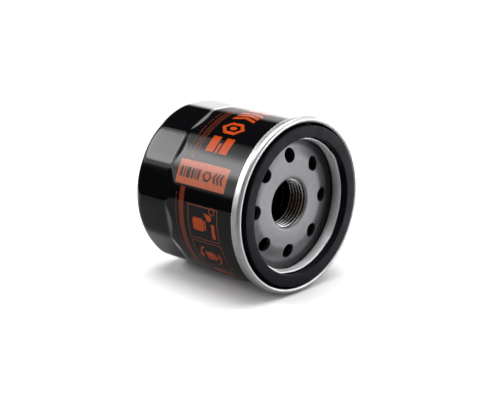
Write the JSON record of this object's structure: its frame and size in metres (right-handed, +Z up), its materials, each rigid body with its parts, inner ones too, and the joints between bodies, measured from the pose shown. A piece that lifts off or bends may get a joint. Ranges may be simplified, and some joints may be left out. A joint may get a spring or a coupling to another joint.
{
  "type": "oil filter",
  "caption": "Spin-on oil filter: gloss black can with wrench flats, rolled silver seam, square rubber gasket, drilled plate with threaded hub, pleated element, anti-drainback and bypass valves.",
  "frame": {"origin": "centre of the bounding box in X and Y, at the lowest point of the seam ring in Z; the filter lies on its side", "axes": "+X along the filter's axis, out of the gasket face and threaded bore; +Z up; the closed end with the wrench flats faces -X"},
  "size_m": [0.06, 0.0686, 0.0686],
  "materials": {
    "gloss_black_paint": null,
    "zinc_plate": "bright zinc-plated sheet steel",
    "seam_compound": "set sealing compound",
    "gasket_rubber": "satin dark grey nitrile rubber",
    "phosphated_steel": "dull grey phosphated steel, bright on the cut thread",
    "nitrile_rubber": "smooth black nitrile rubber",
    "tinplate": "tinplate",
    "tube_steel": "perforated tinned steel",
    "filter_paper": "resin-treated cellulose paper",
    "clip_steel": "tinned steel strip",
    "plastisol": "set plastisol",
    "stamped_steel": "stamped steel",
    "valve_steel": "bright steel",
    "spring_steel": "drawn spring wire"
  },
  "bodies": {
    "shell": {"can": "gloss_black_paint", "seaming_lid": "zinc_plate", "seam_compound": "seam_compound", "sealing_gasket": "gasket_rubber", "tapping_plate": "phosphated_steel", "element_spring": "spring_steel"},
    "drainback_valve": {"anti_drainback_valve": "nitrile_rubber"},
    "element": {"element_top_cap": "tinplate", "element_bottom_cap": "tinplate", "centre_tube": "tube_steel", "pleated_media": "filter_paper", "media_seam_clip": "clip_steel", "top_adhesive": "plastisol", "bottom_adhesive": "plastisol", "spring_seat": "stamped_steel", "bypass_valve_cage": "stamped_steel", "bypass_spring": "spring_steel"},
    "bypass_valve": {"bypass_valve_disc": "valve_steel", "bypass_valve_stem": "valve_steel", "bypass_valve_seal": "nitrile_rubber"}
  },
  "joints": [
    {"name": "drainback_valve_lift", "type": "slide", "parent": "shell", "child": "drainback_valve", "axis": [-1, 0, 0], "range_m": [0, 0.001], "stiffness_N_per_m": 300},
    {"name": "element_float", "type": "slide", "parent": "shell", "child": "element", "axis": [-1, 0, 0], "range_m": [0, 0.001], "stiffness_N_per_m": 3000, "deforming": ["element_spring"]},
    {"name": "bypass_valve_lift", "type": "slide", "parent": "element", "child": "bypass_valve", "axis": [1, 0, 0], "range_m": [0, 0.003], "stiffness_N_per_m": 600, "deforming": ["bypass_spring"]}
  ]
}
